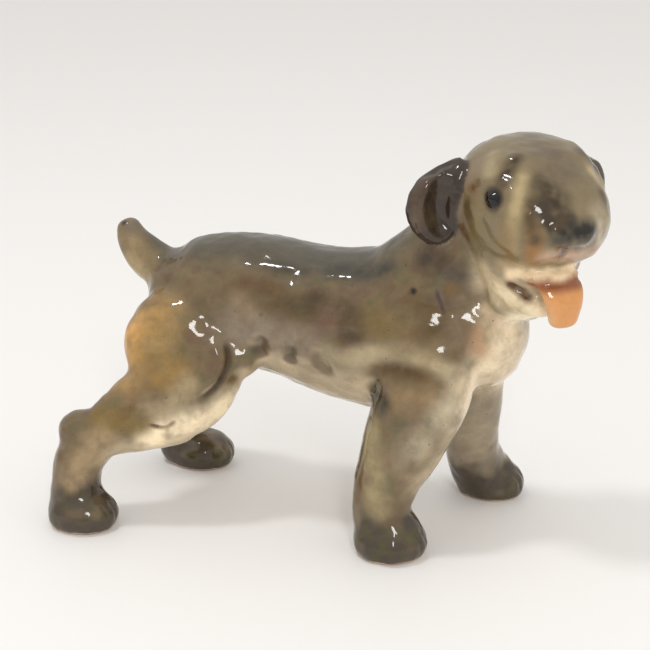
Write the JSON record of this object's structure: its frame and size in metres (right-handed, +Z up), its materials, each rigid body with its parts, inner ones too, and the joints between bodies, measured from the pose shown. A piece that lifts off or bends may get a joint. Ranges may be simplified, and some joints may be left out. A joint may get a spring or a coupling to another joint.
{
  "type": "ceramic dog figurine",
  "caption": "Glazed ceramic terrier puppy standing on splayed legs, head turned to its right, tongue out and short tail up.",
  "frame": {"origin": "middle of the figurine's bounding box, on the plane of the four soles", "axes": "+X from tail to chest, +Y to the dog's left side, +Z up"},
  "size_m": [0.1052, 0.0528, 0.0795],
  "materials": {
    "coat_glaze": "glossy clear glaze over airbrushed grey-brown and ochre",
    "face_glaze": "glossy clear glaze over airbrushed taupe stripes on cream",
    "ear_glaze": "glossy clear glaze over dark purple-brown",
    "tongue_glaze": "glossy clear glaze over orange, rust brown at the root"
  },
  "bodies": {
    "root": {"torso": "coat_glaze", "head": "face_glaze", "ear_right": "ear_glaze", "ear_left": "ear_glaze", "tongue": "tongue_glaze", "tail": "coat_glaze", "fore_leg_right": "coat_glaze", "fore_leg_left": "coat_glaze", "hind_leg_right": "coat_glaze", "hind_leg_left": "coat_glaze"}
  },
  "joints": []
}
